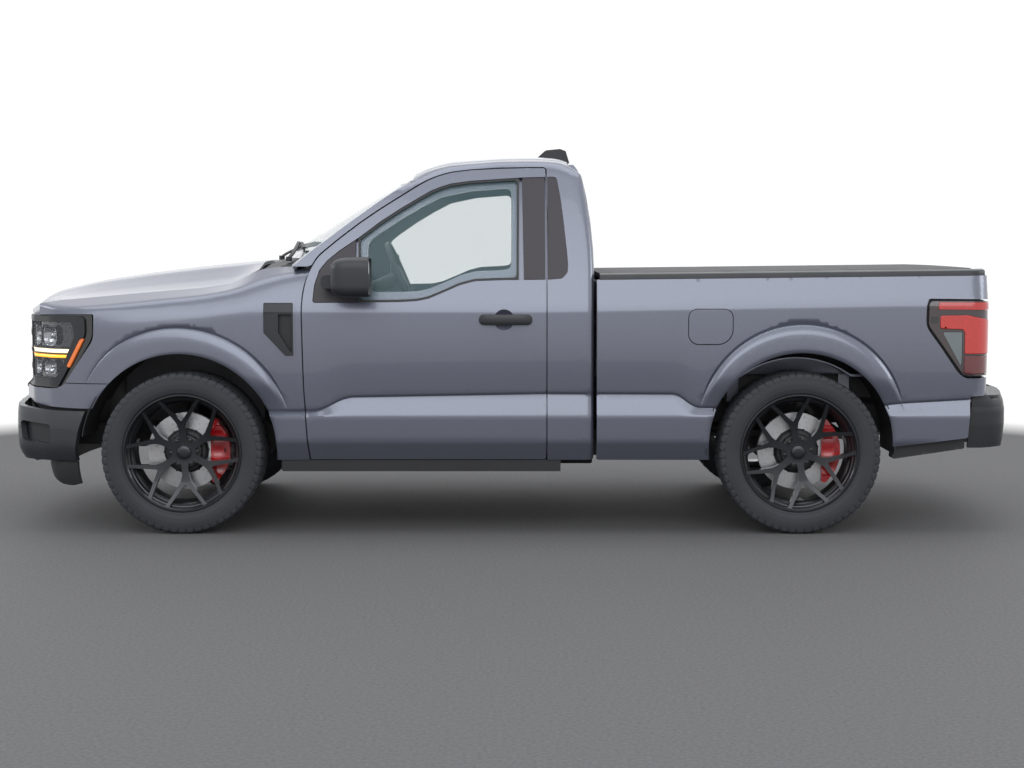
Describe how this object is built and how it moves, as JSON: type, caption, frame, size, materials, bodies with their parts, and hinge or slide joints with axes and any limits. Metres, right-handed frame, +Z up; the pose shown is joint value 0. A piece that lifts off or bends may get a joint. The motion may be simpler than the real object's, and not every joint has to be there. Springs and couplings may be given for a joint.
{
  "type": "pickup truck",
  "caption": "Two-door pickup truck with opening doors, hood, tailgate and bed cover, steered front wheels and a short load bed.",
  "frame": {"origin": "on the ground, at the middle of the truck's length and width", "axes": "+X towards the front, +Y towards the truck's left side, +Z up"},
  "size_m": [5.256, 2.45, 1.9834],
  "materials": {
    "body_paint": "satin",
    "frame_black": "satin",
    "cast_metal": "rough",
    "steel": "brushed",
    "black_plastic": "textured",
    "gloss_black": "gloss",
    "lamp_clear": "gloss",
    "lamp_red": "gloss",
    "glass": "gloss",
    "caliper_red": "gloss",
    "tyre": "matte",
    "rim_black": "satin",
    "seat_cloth": "woven",
    "leather": "matte",
    "cover_black": "matte"
  },
  "bodies": {
    "truck": {"chassis_frame": "frame_black", "tow_receiver": "frame_black", "engine": "cast_metal", "front_structure": "black_plastic", "cab_floor": "black_plastic", "cab_side_left": "body_paint", "cab_side_right": "body_paint", "cab_roof": "body_paint", "cab_back": "body_paint", "cab_glass": "glass", "cowl": "black_plastic", "fender_left": "body_paint", "fender_right": "body_paint", "fender_vents": "black_plastic", "grille": "gloss_black", "headlamps": "lamp_clear", "front_bumper": "body_paint", "air_dam": "black_plastic", "arch_liners": "black_plastic", "front_suspension": "frame_black", "rear_axle": "frame_black", "rear_calipers": "caliper_red", "exhaust": "steel", "fuel_tank": "black_plastic", "seats": "seat_cloth", "dashboard": "black_plastic", "bed_floor": "body_paint", "bed_side_left": "body_paint", "bed_side_right": "body_paint", "rail_caps": "black_plastic", "tail_lamps": "lamp_red", "rear_bumper": "black_plastic", "roof_antenna": "black_plastic"},
    "hood": {"hood": "body_paint"},
    "door_left": {"door_left": "body_paint", "door_glass_left": "glass", "door_trim_left": "gloss_black"},
    "door_right": {"door_right": "body_paint", "door_glass_right": "glass", "door_trim_right": "gloss_black"},
    "tailgate": {"tailgate": "body_paint"},
    "bed_cover": {"bed_cover": "cover_black"},
    "steering_wheel": {"steering_wheel": "leather"},
    "knuckle_left": {"knuckle_left": "frame_black", "front_caliper_left": "caliper_red"},
    "knuckle_right": {"knuckle_right": "frame_black", "front_caliper_right": "caliper_red"},
    "wheel_front_left": {"tyre_front_left": "tyre", "rim_front_left": "rim_black", "brake_disc_front_left": "steel"},
    "wheel_front_right": {"tyre_front_right": "tyre", "rim_front_right": "rim_black", "brake_disc_front_right": "steel"},
    "wheel_rear_left": {"tyre_rear_left": "tyre", "rim_rear_left": "rim_black", "brake_disc_rear_left": "steel"},
    "wheel_rear_right": {"tyre_rear_right": "tyre", "rim_rear_right": "rim_black", "brake_disc_rear_right": "steel"}
  },
  "joints": [
    {"name": "hood_hinge", "type": "hinge", "parent": "truck", "child": "hood", "pos_m": [1.313, 0, 1.39], "axis": [0, -1, 0], "range_deg": [0, 50]},
    {"name": "door_left_hinge", "type": "hinge", "parent": "truck", "child": "door_left", "pos_m": [1.052, 0.9915, 0.9], "axis": [0, 0, -1], "range_deg": [0, 68]},
    {"name": "door_right_hinge", "type": "hinge", "parent": "truck", "child": "door_right", "pos_m": [1.052, -0.9915, 0.9], "axis": [0, 0, 1], "range_deg": [0, 68]},
    {"name": "tailgate_hinge", "type": "hinge", "parent": "truck", "child": "tailgate", "pos_m": [-2.349, 0, 0.766], "axis": [0, -1, 0], "range_deg": [0, 90]},
    {"name": "bed_cover_hinge", "type": "hinge", "parent": "truck", "child": "bed_cover", "pos_m": [-0.434, 0, 1.3225], "axis": [0, 1, 0], "range_deg": [0, 35]},
    {"name": "steer_left", "type": "hinge", "parent": "truck", "child": "knuckle_left", "pos_m": [1.665, 0.78, 0.408], "axis": [0, 0, 1], "range_deg": [-32, 32]},
    {"name": "steer_right", "type": "hinge", "parent": "truck", "child": "knuckle_right", "pos_m": [1.665, -0.78, 0.408], "axis": [0, 0, 1], "range_deg": [-32, 32]},
    {"name": "steering_wheel_turn", "type": "hinge", "parent": "truck", "child": "steering_wheel", "pos_m": [0.585, 0.42, 1.29], "axis": [-0.9205, 0, 0.3907], "range_deg": [-512, 512]},
    {"name": "spin_front_left", "type": "hinge", "parent": "knuckle_left", "child": "wheel_front_left", "pos_m": [1.665, 0.85, 0.408], "axis": [0, 1, 0], "continuous": true},
    {"name": "spin_front_right", "type": "hinge", "parent": "knuckle_right", "child": "wheel_front_right", "pos_m": [1.665, -0.85, 0.408], "axis": [0, 1, 0], "continuous": true},
    {"name": "spin_rear_left", "type": "hinge", "parent": "truck", "child": "wheel_rear_left", "pos_m": [-1.454, 0.85, 0.408], "axis": [0, 1, 0], "continuous": true},
    {"name": "spin_rear_right", "type": "hinge", "parent": "truck", "child": "wheel_rear_right", "pos_m": [-1.454, -0.85, 0.408], "axis": [0, 1, 0], "continuous": true}
  ],
  "couplings": [
    {"joint": "steer_right", "follows": "steer_left", "ratio": 1},
    {"joint": "steering_wheel_turn", "follows": "steer_left", "ratio": 16}
  ]
}
